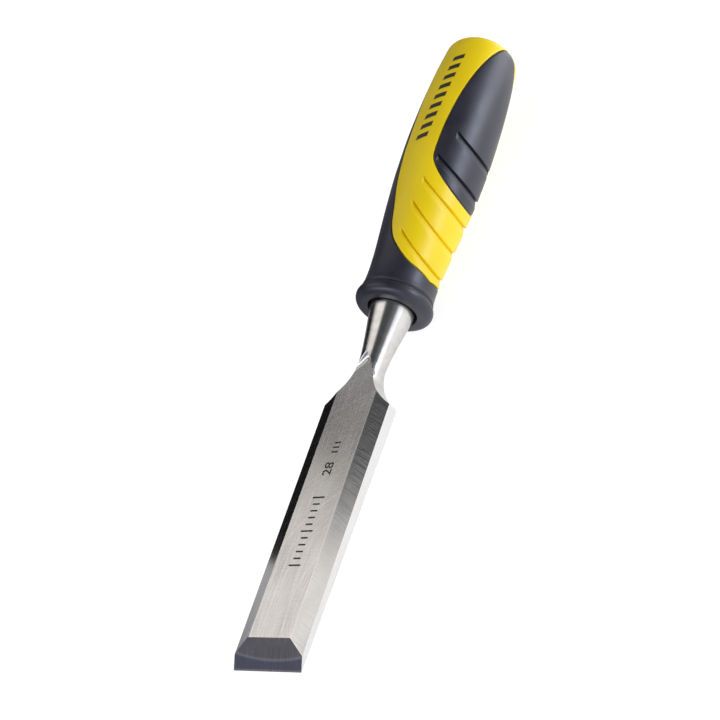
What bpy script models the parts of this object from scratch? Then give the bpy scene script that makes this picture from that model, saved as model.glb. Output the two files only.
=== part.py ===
"""Bench chisel, 28 mm wide: a bevel-edged steel blade in a two-material moulded handle.

The tool is first modelled along its own axis, in millimetres: Y runs from the cutting edge (0) up
the handle, Z comes out of the bevelled face, and X is the tool's right-hand side. A place along Y
is called a station. Angles round the handle are counted from the right-hand side, +X, and the two
halves of the handle, face side and back side, mirror each other. At the end the empty "bench_rest"
lays the tool on a bench as it really lies: on its cutting edge and on the rim of its collar.
"""
import math

import bmesh
import bpy
import numpy as np

MM = 0.001

# ---- driving dimensions, millimetres and degrees ------------------------------------------------
GAP = 0.3                     # clearance between pieces that touch

BLADE_WIDTH = 28.0
RIGHT_SHOULDER = 92.7         # where the full width of the blade ends on the right-hand side
LEFT_SHOULDER = 94.2          # the same on the left-hand side, as hand grinding left it
NECK_STATION = 108.0          # where the shoulders have run into the round neck
BACK_OFFSET_EDGE = 1.55       # flat back behind the tool's axis, at the cutting edge
BACK_OFFSET_SHOULDER = 3.25   # the same at the shoulder, so the handle rises off the bench
THICKNESS_EDGE = 4.15         # face to back, carried down to the cutting edge
THICKNESS_SHOULDER = 6.2
LAND_EDGE = 1.95              # height of the square side land
LAND_SHOULDER = 4.2
FACE_WIDTH_EDGE = 17.4        # flat between the two side bevels
FACE_WIDTH_SHOULDER = 17.0
PRIMARY_BEVEL = 24.0
GRIND_RUN_OUT = 7.5           # length over which the ground flats rise out of the neck

NECK_RADIUS = 4.7
BOLSTER_STATION = 132.7       # end of the steel that shows, seated on the handle
BOLSTER_RADIUS = 8.1
TANG_LENGTH = 76.0
TANG_HALF_WIDTH = 3.6
TANG_TIP_HALF_WIDTH = 2.0

HANDLE_END = 241.0
BUTT_CORNER_RADIUS = 5.5
SOFT_WALL = 2.0               # thickness of the soft grip over the hard core

COLLAR_BORE_RADIUS = 8.5
COLLAR_RIM_STATION = 132.5    # centre of the rim's rounded section
COLLAR_RIM_RADIUS = 10.65
COLLAR_ROUND = 2.7
COLLAR_TOP = 137.5            # where the collar has run into the handle's waist

GROOVE_DEPTH = 0.9
GROOVE_RAMP = 3.2             # width of the shallow side of a groove
BOW_ANGLE = -6.0              # where the grooves and the panel's lower edge come nearest the blade
# Each groove: station at BOW_ANGLE, station of its ends, angle of its end on the face side.
PANEL_GROOVES = ((191.4, 195.7, 42.0), (178.5, 185.0, 57.0))
CORE_GROOVES = ((167.1, 175.6, 66.0), (156.3, 166.0, 70.0), (145.0, 155.0, 74.0))

# Swell of the handle: (station, radius). The belly and the butt keep their distance to the end.
HANDLE_PROFILE = ((134.0, 12.3), (141.0, 12.0), (148.0, 12.25), (156.0, 12.9), (168.0, 13.95),
                  (182.0, 14.85), (HANDLE_END - 45.0, 15.15), (HANDLE_END - 31.0, 14.8),
                  (HANDLE_END - 17.0, 13.95), (HANDLE_END - 6.0, 12.75))
# Soft panel on the right-hand side: a half ellipse above, a shallow bow below.
PANEL_MIDDLE = 189.0
PANEL_TOP = HANDLE_END - 3.2
PANEL_HALF_ANGLE = 62.5
PANEL_BOTTOM = 171.8
PANEL_BOTTOM_RISE = 9.7
# Edge of the soft sleeve: (angle from the right-hand side, station). From the last point on, the
# tongue on the left-hand side ends in the same half ellipse as the panel.
SLEEVE_EDGE = ((0.0, 140.4), (44.0, 143.2), (80.0, 149.9), (94.0, 156.0), (100.0, 163.0),
               (109.0, 172.8), (180.0 - PANEL_HALF_ANGLE, PANEL_MIDDLE))

# ---- resolution ---------------------------------------------------------------------------------
TURN_STEPS = 60
SECTION_STEPS = 32
SHOULDER_STEPS = 14
NECK_STEPS = 8
HALF_COLUMNS = 32             # columns of the sleeve in each half turn
WALL_STEPS = 11               # points along the inside and the outside of the sleeve
CORE_STEPS = 30               # rows along the swell of the core
PANEL_STEPS = 28              # outline points in each half of the panel
PANEL_RINGS = 4
GROOVE_STEPS = 24
ARC_STEPS = 6


# ---- curves -------------------------------------------------------------------------------------
def smooth_curve(points):
    """Return a function that runs smoothly through the points and never overshoots them.

    It is a cubic between each two points. The slope at a point is the harmonic mean of the slopes
    on its two sides, and zero where they disagree in sign.
    """
    x, y = np.array(points, float).T
    slope = np.diff(y) / np.diff(x)
    same_way = slope[:-1] * slope[1:] > 0
    both = np.where(same_way, slope[:-1] + slope[1:], 1.0)
    inner = np.where(same_way, 2 * slope[:-1] * slope[1:] / both, 0.0)
    tangent = np.concatenate([slope[:1], inner, slope[-1:]])

    def value(at):
        at = np.clip(np.asarray(at, float), x[0], x[-1])
        i = np.clip(np.searchsorted(x, at, side="right") - 1, 0, len(x) - 2)
        width = x[i + 1] - x[i]
        t = (at - x[i]) / width
        rise = (3 - 2 * t) * t * t
        return (y[i] * (1 - rise) + y[i + 1] * rise
                + width * t * (1 - t) * ((1 - t) * tangent[i] - t * tangent[i + 1]))

    return value


def arc(center, radius, start, end, steps=ARC_STEPS):
    """Points (station, radius) along an arc whose angles, in degrees, are counted from +station."""
    angles = np.radians(np.linspace(start, end, steps + 1))
    return [(center[0] + radius * math.cos(a), center[1] + radius * math.sin(a)) for a in angles]


swell = smooth_curve(HANDLE_PROFILE)
lower_sleeve_edge = smooth_curve(SLEEVE_EDGE)


def butt_profile():
    """Rounded corner and shallow dome that close the handle, as (station, radius) points.

    The corner's circle touches the side of the handle at the last point of the swell. The dome
    ends at HANDLE_END and touches the corner's circle from outside, which sets its center.
    """
    side_station, side_radius = HANDLE_PROFILE[-1]
    before_station, before_radius = HANDLE_PROFILE[-2]
    lean = math.atan2(before_radius - side_radius, side_station - before_station)
    station = side_station - BUTT_CORNER_RADIUS * math.sin(lean)
    radius = side_radius - BUTT_CORNER_RADIUS * math.cos(lean)
    limit = HANDLE_END - BUTT_CORNER_RADIUS
    dome_center = (limit ** 2 - station ** 2 - radius ** 2) / (2 * (limit - station))
    meet = math.degrees(math.atan2(radius, station - dome_center))
    rounded = arc((station, radius), BUTT_CORNER_RADIUS, 90 - math.degrees(lean), meet)
    dome = arc((dome_center, 0.0), HANDLE_END - dome_center, meet, 0.0)
    return rounded + dome[1:], dome_center


BUTT, DOME_CENTER = butt_profile()


def handle_radius(station):
    """Outer radius of the handle at each station, the rounded butt included."""
    station = np.asarray(station, float)
    butt_stations, butt_radii = np.array(BUTT).T
    return np.where(station < HANDLE_PROFILE[-1][0], swell(station),
                    np.interp(station, butt_stations, butt_radii))


# ---- mesh helpers -------------------------------------------------------------------------------
def wrap(angle, station, radius):
    """Points at an angle from the right-hand side, in degrees, a station and a radius."""
    angle, station, radius = np.broadcast_arrays(np.radians(angle), station, radius)
    return np.stack([radius * np.cos(angle), station, radius * np.sin(angle)], axis=-1)


def make_object(name, vertices, faces, material=None):
    """Object from millimetre vertices, its faces turned outwards and split into triangles."""
    bm = bmesh.new()
    points = [bm.verts.new(np.asarray(vertex, float) * MM) for vertex in vertices]
    for face in faces:
        bm.faces.new([points[i] for i in face])
    bmesh.ops.remove_doubles(bm, verts=bm.verts, dist=0.001 * MM)
    bmesh.ops.recalc_face_normals(bm, faces=bm.faces)
    bmesh.ops.triangulate(bm, faces=bm.faces)
    mesh = bpy.data.meshes.new(name)
    bm.to_mesh(mesh)
    bm.free()
    obj = bpy.data.objects.new(name, mesh)
    bpy.context.scene.collection.objects.link(obj)
    if material:
        mesh.materials.append(material)
        mesh.shade_smooth()
        mesh.set_sharp_from_angle(angle=math.radians(30))
    return obj


def grid_faces(rows, columns, close_rows, close_columns):
    """Quads between neighbouring points of a grid, with either direction joined end to end."""
    faces = []
    for row in range(rows if close_rows else rows - 1):
        for column in range(columns if close_columns else columns - 1):
            below, right = (row + 1) % rows, (column + 1) % columns
            faces.append((row * columns + column, row * columns + right,
                          below * columns + right, below * columns + column))
    return faces


def loft(name, sections, material=None):
    """Solid through closed sections of equal point count, with flat ends."""
    rows, columns = len(sections), len(sections[0])
    faces = grid_faces(rows, columns, False, True)
    faces += [tuple(range(columns)), tuple(range((rows - 1) * columns, rows * columns))]
    return make_object(name, np.concatenate(sections), faces, material)


def lathe(name, profile, material=None):
    """Solid turned about the tool's axis from (station, radius) points that start and end on it."""
    angles = np.arange(TURN_STEPS) * 360.0 / TURN_STEPS
    rings = [wrap(angles, station, radius) for station, radius in profile[1:-1]]
    vertices = np.concatenate(rings + [[(0, profile[0][0], 0)], [(0, profile[-1][0], 0)]])
    faces = grid_faces(len(rings), TURN_STEPS, False, True)
    last_ring = (len(rings) - 1) * TURN_STEPS
    first_pole, last_pole = len(vertices) - 2, len(vertices) - 1
    for i in range(TURN_STEPS):
        following = (i + 1) % TURN_STEPS
        faces.append((i, following, first_pole))
        faces.append((last_ring + i, last_ring + following, last_pole))
    return make_object(name, vertices, faces, material)


def extrude_side_view(name, outline, half_width):
    """Prism across the tool from a (station, height) outline."""
    sections = [[(x, station, height) for station, height in outline]
                for x in (-half_width, half_width)]
    return loft(name, sections)


def cut(target, *cutters):
    """Cut each cutter out of the target, and leave the cutters out of the model."""
    for cutter in cutters:
        modifier = target.modifiers.new(cutter.name, "BOOLEAN")
        modifier.operation = "DIFFERENCE"
        modifier.solver = "EXACT"
        modifier.object = cutter
        cutter.hide_render = True
        cutter.hide_set(True)
        cutter.display_type = "WIRE"


def finish(name, color, roughness, metallic):
    material = bpy.data.materials.new(name)
    material.use_nodes = True
    shader = material.node_tree.nodes["Principled BSDF"]
    shader.inputs["Base Color"].default_value = (*color, 1.0)
    shader.inputs["Roughness"].default_value = roughness
    shader.inputs["Metallic"].default_value = metallic
    return material


# ---- blade --------------------------------------------------------------------------------------
def back_height(station):
    """Height of the flat back, below the axis."""
    return -BACK_OFFSET_EDGE - (BACK_OFFSET_SHOULDER - BACK_OFFSET_EDGE) * station / RIGHT_SHOULDER


def face_height(station):
    """Height of the ground face, above the axis."""
    taper = (THICKNESS_SHOULDER - THICKNESS_EDGE) / RIGHT_SHOULDER
    return back_height(station) + THICKNESS_EDGE + taper * station


def shoulder_half_width(station, start):
    """Half width of the blade: full, then one concave arc that runs into the round neck."""
    drop = BLADE_WIDTH / 2 - NECK_RADIUS
    run = NECK_STATION - start
    radius = (drop ** 2 + run ** 2) / (2 * drop)
    left = max(NECK_STATION - station, 0.0)
    if left >= run:
        return BLADE_WIDTH / 2
    return NECK_RADIUS + radius - math.sqrt(radius ** 2 - left ** 2)


def section(station, right, left, half_height, squareness):
    """Closed section between an ellipse (squareness 0) and a rectangle (1).

    Right and left are its half widths on the two sides of the axis.
    """
    turn = np.linspace(0, 2 * np.pi, SECTION_STEPS, endpoint=False)
    around = np.stack([np.cos(turn), np.sin(turn)])
    square = around / np.abs(around).max(axis=0)
    x, z = around * (1 - squareness) + square * squareness
    width = np.where(x > 0, right, left)
    return np.stack([width * x, np.full_like(x, station), half_height * z], axis=-1)


def even_section(station, half_width, squareness):
    """Section as wide as it is high."""
    return section(station, half_width, half_width, half_width, squareness)


def forged_blank():
    """Steel forging before grinding: bar, shoulders, round neck, bolster and square tang."""
    neck = smooth_curve(((NECK_STATION, NECK_RADIUS), (NECK_STATION + 4, NECK_RADIUS + 0.3),
                         (BOLSTER_STATION, BOLSTER_RADIUS)))
    half = BLADE_WIDTH / 2
    sections = [section(-2.0, half, half, NECK_RADIUS, 1.0)]
    for rounding in np.linspace(0, 1, SHOULDER_STEPS + 1):
        station = RIGHT_SHOULDER + (NECK_STATION - RIGHT_SHOULDER) * rounding
        right, left = (shoulder_half_width(station, start)
                       for start in (RIGHT_SHOULDER, LEFT_SHOULDER))
        squareness = 1 - rounding ** 2 * (3 - 2 * rounding)
        sections.append(section(station, right, left, NECK_RADIUS, squareness))
    for station in np.linspace(NECK_STATION, BOLSTER_STATION, NECK_STEPS + 1)[1:]:
        sections.append(even_section(station, float(neck(station)), 0.0))
    sections.append(even_section(BOLSTER_STATION, TANG_HALF_WIDTH, 1.0))
    sections.append(even_section(BOLSTER_STATION + TANG_LENGTH, TANG_TIP_HALF_WIDTH, 1.0))
    return loft("blade", sections, finish("steel", (0.60, 0.58, 0.56), 0.28, 1.0))


def flat_grind(name, height, outward):
    """Cutter for the face (outward +1) or the back (-1), whose end curves out of the neck."""
    start = NECK_STATION - GRIND_RUN_OUT / 2
    beyond = outward * 3 * NECK_RADIUS
    rise = outward * (NECK_RADIUS + 1.0) - height(start)
    run_out = [(start + GRIND_RUN_OUT * t, height(start) + rise * t * t)
               for t in np.linspace(0, 1, ARC_STEPS + 1)]
    outline = [(-5.0, beyond), (-5.0, height(-5.0))] + run_out + [(run_out[-1][0], beyond)]
    return extrude_side_view(name, outline, BLADE_WIDTH)


def side_bevel_grind(name, side):
    """Cutter for one long side bevel, from the top of the land to the edge of the face."""
    def corner(station, land, face_width):
        low = np.array([BLADE_WIDTH / 2, back_height(station) + land])
        high = np.array([face_width / 2, face_height(station)])
        lower, upper = 2 * low - high, 3 * high - 2 * low
        ring = [lower, upper, (lower[0], upper[1])]
        return [(side * x, station, z) for x, z in ring]

    edge = corner(0.0, LAND_EDGE, FACE_WIDTH_EDGE)
    shoulder = corner(RIGHT_SHOULDER, LAND_SHOULDER, FACE_WIDTH_SHOULDER)
    edge, shoulder = np.array(edge), np.array(shoulder)
    along = (shoulder - edge) / RIGHT_SHOULDER
    beyond = shoulder + (NECK_STATION - RIGHT_SHOULDER) * along
    sections = [edge - 5 * along, edge, shoulder, beyond]
    return loft(name, sections)


def primary_bevel_grind():
    """Cutter that makes the cutting edge: it leaves the back at station 0."""
    slope = math.tan(math.radians(PRIMARY_BEVEL))
    low, high = -3.0, 8.0
    edge_height = back_height(0.0)
    outline = [(low / slope, edge_height + low), (high / slope, edge_height + high),
               (-20.0, edge_height + high), (-20.0, edge_height + low)]
    return extrude_side_view("primary_bevel_grind", outline, BLADE_WIDTH)


def make_blade():
    blade = forged_blank()
    cut(blade,
        flat_grind("face_grind", face_height, 1),
        flat_grind("back_grind", back_height, -1),
        side_bevel_grind("right_bevel_grind", 1),
        side_bevel_grind("left_bevel_grind", -1),
        primary_bevel_grind())


# ---- handle -------------------------------------------------------------------------------------
CORE_FACE = BOLSTER_STATION + GAP
DEGREE = math.radians(1.0) * HANDLE_PROFILE[6][1]     # arc length of one degree at the belly


def offset(points, margin, closed):
    """Move an (angle, station) line sideways by a margin measured along the surface."""
    flat = np.array(points) * (DEGREE, 1.0)
    if closed:
        along = np.roll(flat, -1, axis=0) - np.roll(flat, 1, axis=0)
    else:
        along = np.gradient(flat, axis=0)
    along /= np.linalg.norm(along, axis=1, keepdims=True)
    outward = np.stack([-along[:, 1], along[:, 0]], axis=1)
    return (flat + margin * outward) / (DEGREE, 1.0)


def sleeve_columns(margin):
    """Angle and top station of each column of the sleeve, round the whole handle.

    The columns are spaced evenly along the sleeve's edge, which climbs steeply in places.
    """
    low = np.linspace(0, SLEEVE_EDGE[-1][0], 200)
    turn = np.linspace(0, np.pi / 2, 200)
    angles = np.concatenate([low, 180 - PANEL_HALF_ANGLE * np.cos(turn)])
    tongue = PANEL_MIDDLE + (PANEL_TOP - PANEL_MIDDLE) * np.sin(turn)
    stations = np.concatenate([lower_sleeve_edge(low), tongue])
    walked = np.concatenate([[0], np.cumsum(np.hypot(np.diff(angles) * DEGREE, np.diff(stations)))])
    even = np.linspace(0, walked[-1], HALF_COLUMNS + 1)
    line = np.stack([np.interp(even, walked, angles), np.interp(even, walked, stations)], axis=1)
    line = offset(line, margin, closed=False)
    line[[0, -1], 0] = 0.0, 180.0
    mirrored = line[-2:0:-1] * (-1, 1) + (360, 0)
    return np.concatenate([line, mirrored])


def grip_sleeve():
    """Soft collar and sleeve, with the tongue that runs up the left-hand side to the butt."""
    lip = CORE_FACE - GAP
    rim = arc((COLLAR_RIM_STATION, COLLAR_RIM_RADIUS), COLLAR_ROUND, 180, 50)
    front = [(rim[0][0], COLLAR_BORE_RADIUS)] + rim
    share = np.linspace(0, 1, WALL_STEPS)
    columns = []
    for angle, top in sleeve_columns(0.0):
        outside = COLLAR_TOP + (top - COLLAR_TOP) * share
        inside = lip + (top - lip) * share[::-1]
        loop = front + list(zip(outside, handle_radius(outside)))
        loop += list(zip(inside, handle_radius(inside) - SOFT_WALL + GAP))
        loop.append((lip, COLLAR_BORE_RADIUS))
        stations, radii = np.array(loop).T
        columns.append(wrap(angle, stations, radii))
    faces = grid_faces(len(columns), len(columns[0]), True, True)
    rubber = finish("soft_grip", (0.035, 0.035, 0.042), 0.55, 0.0)
    return make_object("grip_sleeve", np.concatenate(columns), faces, rubber)


def sleeve_pocket():
    """Cutter for the room that the sleeve takes up round the core."""
    start = CORE_FACE - 2.0
    share = np.linspace(0, 1, WALL_STEPS)
    columns = []
    for angle, top in sleeve_columns(GAP):
        stations = start + (top - start) * share
        floor = handle_radius(stations) - SOFT_WALL
        columns.append(np.concatenate([wrap(angle, stations, floor),
                                       wrap(angle, stations[::-1], floor[::-1] + 2 * SOFT_WALL)]))
    faces = grid_faces(len(columns), len(columns[0]), True, True)
    return make_object("sleeve_pocket", np.concatenate(columns), faces)


def panel_outline():
    """Half ellipse above PANEL_MIDDLE, and below it a shallow bow with rounded corners."""
    turn = np.linspace(0, np.pi, PANEL_STEPS, endpoint=False)
    upper = np.stack([PANEL_HALF_ANGLE * np.cos(turn),
                      PANEL_MIDDLE + (PANEL_TOP - PANEL_MIDDLE) * np.sin(turn)], axis=1)
    across = -np.cos(turn)
    from_bow = (PANEL_HALF_ANGLE * across - BOW_ANGLE) / (PANEL_HALF_ANGLE - BOW_ANGLE)
    bow = PANEL_BOTTOM + PANEL_BOTTOM_RISE * from_bow ** 2
    corner = 1 - (1 - np.abs(across) ** 6) ** (1 / 6)
    lower = np.stack([PANEL_HALF_ANGLE * across, bow + (PANEL_MIDDLE - bow) * corner], axis=1)
    return np.concatenate([upper, lower])


def panel_solid(name, margin, inner_gap, outer_rise, material=None):
    """Patch of the handle's skin inside the panel's outline, built of rings round its middle."""
    outline = offset(panel_outline(), -margin, closed=True)
    center = np.array([0.0, (PANEL_TOP + PANEL_BOTTOM) / 2])
    shares = np.linspace(0, 1, PANEL_RINGS + 1)[1:]
    flat = np.concatenate([[center]] + [center + (outline - center) * share for share in shares])
    radius = handle_radius(flat[:, 1])
    count = len(outline)
    outer_faces = [(0, 1 + (i + 1) % count, 1 + i) for i in range(count)]
    outer_faces += [tuple(i + 1 for i in quad)
                    for quad in grid_faces(PANEL_RINGS, count, False, True)]
    inner_faces = [tuple(i + len(flat) for i in reversed(face)) for face in outer_faces]
    last = len(flat) - count
    side_faces = [(last + i, last + (i + 1) % count,
                   len(flat) + last + (i + 1) % count, len(flat) + last + i)
                  for i in range(count)]
    vertices = np.concatenate([wrap(flat[:, 0], flat[:, 1], radius + outer_rise),
                               wrap(flat[:, 0], flat[:, 1], radius - SOFT_WALL + inner_gap)])
    return make_object(name, vertices, outer_faces + inner_faces + side_faces, material)


def groove(name, middle_station, end_station, end_angle):
    """Cutter for one finger groove: steep on the butt's side, a shallow ramp towards the blade."""
    sections = []
    for share in np.linspace(-1, 1, GROOVE_STEPS + 1):
        station = middle_station + (end_station - middle_station) * share ** 2
        fade = math.sqrt(max(1 - share ** 8, 0.02))
        ramp = GROOVE_RAMP * fade
        stations = np.array([station, station - 0.25 * fade, station - ramp, station - ramp])
        heights = np.array([1.0, -GROOVE_DEPTH * fade, 0.05, 1.0])
        angle = BOW_ANGLE + (end_angle - BOW_ANGLE) * share
        sections.append(wrap(angle, stations, handle_radius(stations) + heights))
    return loft(name, sections)


def make_core():
    front_radius = HANDLE_PROFILE[0][1]
    stations = np.linspace(CORE_FACE, HANDLE_PROFILE[-1][0], CORE_STEPS)[:-1]
    profile = [(CORE_FACE, 0.0), (CORE_FACE, front_radius)]
    profile += [(float(s), float(swell(s))) for s in stations[1:]] + BUTT[:-1] + [(HANDLE_END, 0.0)]
    core = lathe("handle_core", profile, finish("hard_plastic", (0.82, 0.60, 0.03), 0.38, 0.0))
    socket = [even_section(station, half + GAP, 1.0)
              for station, half in ((BOLSTER_STATION, TANG_HALF_WIDTH),
                                    (BOLSTER_STATION + TANG_LENGTH + GAP, TANG_TIP_HALF_WIDTH))]
    cut(core,
        sleeve_pocket(),
        panel_solid("panel_pocket", GAP, 0.0, SOFT_WALL),
        loft("tang_socket", socket),
        *[groove(f"core_groove_{i}", *sizes) for i, sizes in enumerate(CORE_GROOVES)])


def make_panel():
    rubber = finish("soft_panel", (0.035, 0.035, 0.042), 0.55, 0.0)
    panel = panel_solid("grip_panel", 0.0, GAP, 0.0, rubber)
    cut(panel, *[groove(f"panel_groove_{i}", *sizes) for i, sizes in enumerate(PANEL_GROOVES)])


# ---- resting pose -------------------------------------------------------------------------------
def lay_on_bench():
    """Parent every piece to an empty that rests the cutting edge and the collar on Z = 0.

    The tool pitches until the line from the cutting edge just touches the collar's rim, a circle
    of radius COLLAR_ROUND. The origin ends up under the middle of the tool's box.
    """
    edge_height = back_height(0.0)
    run, drop = COLLAR_RIM_STATION, COLLAR_RIM_RADIUS + edge_height
    pitch = math.atan2(drop, run) + math.asin(COLLAR_ROUND / math.hypot(run, drop))
    nearest = -edge_height * math.sin(pitch)
    farthest = DOME_CENTER * math.cos(pitch) + HANDLE_END - DOME_CENTER
    rest = bpy.data.objects.new("bench_rest", None)
    rest.rotation_euler.x = pitch
    rest.location = (0.0, -(nearest + farthest) / 2 * MM, -edge_height * math.cos(pitch) * MM)
    bpy.context.scene.collection.objects.link(rest)
    for obj in bpy.data.objects:
        if obj is not rest:
            obj.parent = rest


def main():
    for obj in list(bpy.data.objects):
        bpy.data.objects.remove(obj, do_unlink=True)
    make_blade()
    make_core()
    grip_sleeve()
    make_panel()
    lay_on_bench()


main()
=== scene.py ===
# %% [markdown]
# # Bench chisel: the visual model
#
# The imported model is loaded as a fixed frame. Each CAD node is then replaced by a detailed piece
# of the same size: the ground steel blade, the hard yellow core, the soft black sleeve and the
# soft black panel. Lengths are in millimetres along the tool until a mesh is made.

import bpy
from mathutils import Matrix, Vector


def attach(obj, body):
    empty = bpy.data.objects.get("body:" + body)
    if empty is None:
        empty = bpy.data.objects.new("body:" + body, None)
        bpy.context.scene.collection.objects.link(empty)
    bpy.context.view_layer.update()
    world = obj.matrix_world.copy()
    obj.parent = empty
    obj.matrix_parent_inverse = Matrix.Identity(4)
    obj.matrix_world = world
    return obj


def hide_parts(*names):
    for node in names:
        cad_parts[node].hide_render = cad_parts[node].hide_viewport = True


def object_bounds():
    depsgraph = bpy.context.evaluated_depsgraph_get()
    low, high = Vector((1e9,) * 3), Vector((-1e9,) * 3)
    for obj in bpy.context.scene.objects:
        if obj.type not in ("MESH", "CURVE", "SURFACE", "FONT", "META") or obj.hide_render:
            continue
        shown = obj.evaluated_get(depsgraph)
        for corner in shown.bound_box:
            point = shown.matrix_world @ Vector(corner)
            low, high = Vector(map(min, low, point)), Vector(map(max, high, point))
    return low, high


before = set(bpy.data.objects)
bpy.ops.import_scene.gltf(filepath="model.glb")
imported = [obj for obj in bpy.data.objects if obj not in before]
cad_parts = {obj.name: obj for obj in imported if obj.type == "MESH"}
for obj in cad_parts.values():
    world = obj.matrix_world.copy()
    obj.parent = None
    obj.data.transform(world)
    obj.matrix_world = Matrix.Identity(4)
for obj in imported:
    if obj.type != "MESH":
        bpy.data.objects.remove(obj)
print("CAD nodes", sorted(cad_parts))

import math

import bmesh
import bpy
import numpy as np
from mathutils import Matrix, Vector

cad_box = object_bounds()
cad_low = Vector(cad_box[0])
print("CAD box", [[round(v, 5) for v in corner] for corner in cad_box])

# %% [markdown]
# ## Sizes
# The tool's own frame: x to the right, station along the tool from the cutting edge, z out of the
# ground face. Angles round the handle are counted from the right-hand side, +x. The sizes are the
# CAD's own, written once here, because every shape below is worked out from them.

# %% Sizes of the blade and the handle
MM = 0.001
GAP = 0.3
HALF_WIDTH = 14.0
EDGE_SOFTNESS = 0.03
RIGHT_SHOULDER, LEFT_SHOULDER = 92.7, 94.2
NECK_STATION, NECK_RADIUS = 108.0, 4.7
BACK_AT_EDGE, BACK_AT_SHOULDER = -1.55, -3.25
THICK_AT_EDGE, THICK_AT_SHOULDER = 4.15, 6.2
LAND_AT_EDGE, LAND_AT_SHOULDER = 1.95, 4.2
FACE_AT_EDGE, FACE_AT_SHOULDER = 8.7, 8.5
PRIMARY_SLOPE = math.tan(math.radians(24.0))
RUN_OUT, RUN_OUT_START, SPLAY = 2.6, 109.3, 1.1
BOLSTER_STATION, BOLSTER_RADIUS = 132.7, 8.1

HANDLE_END = 241.0
BUTT_CORNER = 5.5
WALL = 2.0
BORE_RADIUS = 8.5
RIM_STATION, RIM_RADIUS, RIM_ROUND = 132.5, 10.65, 2.7
COLLAR_TOP = 137.5
SWELL = ((134.0, 12.3), (141.0, 12.0), (148.0, 12.25), (156.0, 12.9), (168.0, 13.95),
         (182.0, 14.85), (196.0, 15.15), (210.0, 14.8), (224.0, 13.95), (235.0, 12.75))
DEGREE = math.radians(1.0) * 15.15
MIDDLE, TOP, HALF_ANGLE = 189.0, 237.8, 62.5
BOW, BOW_RISE, BOW_ANGLE = 171.8, 9.7, -6.0
SLEEVE_EDGE = ((0.0, 140.4), (44.0, 143.2), (80.0, 149.9), (94.0, 156.0), (100.0, 163.0),
               (109.0, 172.8), (117.5, 189.0))
GROOVE_DEPTH, GROOVE_RAMP = 0.9, 3.2
PANEL_GROOVES = ((178.5, 185.0, 57.0), (191.4, 195.7, 42.0))
CORE_GROOVES = ((145.0, 155.0, 74.0), (156.3, 166.0, 70.0), (167.1, 175.6, 66.0))
SOFT_EDGE, HARD_EDGE = 0.5, 0.25
print("tool", HANDLE_END, "mm long, blade", 2 * HALF_WIDTH, "mm wide")

# %% [markdown]
# ## How it lies on the bench
# The tool lies on its cutting edge and on its collar's rim, and that sets its pitch: the line from
# the edge to the rim's centre drops by one angle, and the rim's own radius adds another. One matrix
# carries every mesh from the tool's frame to the bench, so the objects stay at the origin.

# %% Pitch on the bench
drop = RIM_RADIUS + BACK_AT_EDGE
pitch = math.atan2(drop, RIM_STATION) + math.asin(RIM_ROUND / math.hypot(RIM_STATION, drop))
bench = Matrix.Rotation(pitch, 4, "X")
bench.translation = (0.0, cad_low.y + BACK_AT_EDGE * MM * math.sin(pitch),
                     cad_low.z - BACK_AT_EDGE * MM * math.cos(pitch))
print("pitch on the bench", round(math.degrees(pitch), 3), "degrees")

# %% [markdown]
# ## Curves and grids
# Every surface is a grid of points computed in one go, and each grid carries a map in millimetres:
# distance across the tool and station along it. The materials draw their grain in that map. A cubic
# that never overshoots is used for the profiles, because a common spline would ripple.

# %% Curves
def smooth_curve(points):
    """Cubic through the points. Each slope is the harmonic mean of the slopes on its two sides."""
    x, y = np.array(points, float).T
    slope = np.diff(y) / np.diff(x)
    same_way = slope[:-1] * slope[1:] > 0
    both = np.where(same_way, slope[:-1] + slope[1:], 1.0)
    inner = np.where(same_way, 2 * slope[:-1] * slope[1:] / both, 0.0)
    tangent = np.concatenate([slope[:1], inner, slope[-1:]])

    def value(at):
        at = np.clip(np.asarray(at, float), x[0], x[-1])
        i = np.clip(np.searchsorted(x, at, side="right") - 1, 0, len(x) - 2)
        width = x[i + 1] - x[i]
        t = (at - x[i]) / width
        rise = (3 - 2 * t) * t * t
        return (y[i] * (1 - rise) + y[i + 1] * rise
                + width * t * (1 - t) * ((1 - t) * tangent[i] - t * tangent[i + 1]))

    return value


def spread(start, end, count):
    """Values from start to end, closer together near both ends: half a turn of a cosine."""
    share = (1 - np.cos(np.linspace(0, np.pi, count + 1))) / 2
    start, end = np.asarray(start, float), np.asarray(end, float)
    return start[..., None] + (end - start)[..., None] * share


def arc(center, radius, start, end, steps):
    """Points (station, radius) of an arc, with its angles in degrees from +station."""
    a = np.radians(np.linspace(start, end, steps + 1))
    return np.stack([center[0] + radius * np.cos(a), center[1] + radius * np.sin(a)], axis=1)


def wrap(angle, station, radius):
    """Points at an angle from the right-hand side, a station and a radius."""
    angle, station, radius = np.broadcast_arrays(np.radians(angle), station, radius)
    return np.stack([radius * np.cos(angle), station, radius * np.sin(angle)], axis=-1)


print("halfway up a step from 0 to 1:", float(smooth_curve(((0, 0), (2, 1)))(1.0)))


# %% [markdown]
# ## From grids to a mesh
# Each grid gives its own faces, and points that coincide are joined, so a piece can be made of
# several grids without seams. Edges sharper than 38 degrees stay sharp in the shading.

# %% Mesh from grids
def new_object(name, data):
    """Object at the origin that holds the data, put in the scene."""
    obj = bpy.data.objects.new(name, data)
    bpy.context.scene.collection.objects.link(obj)
    return obj


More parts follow.
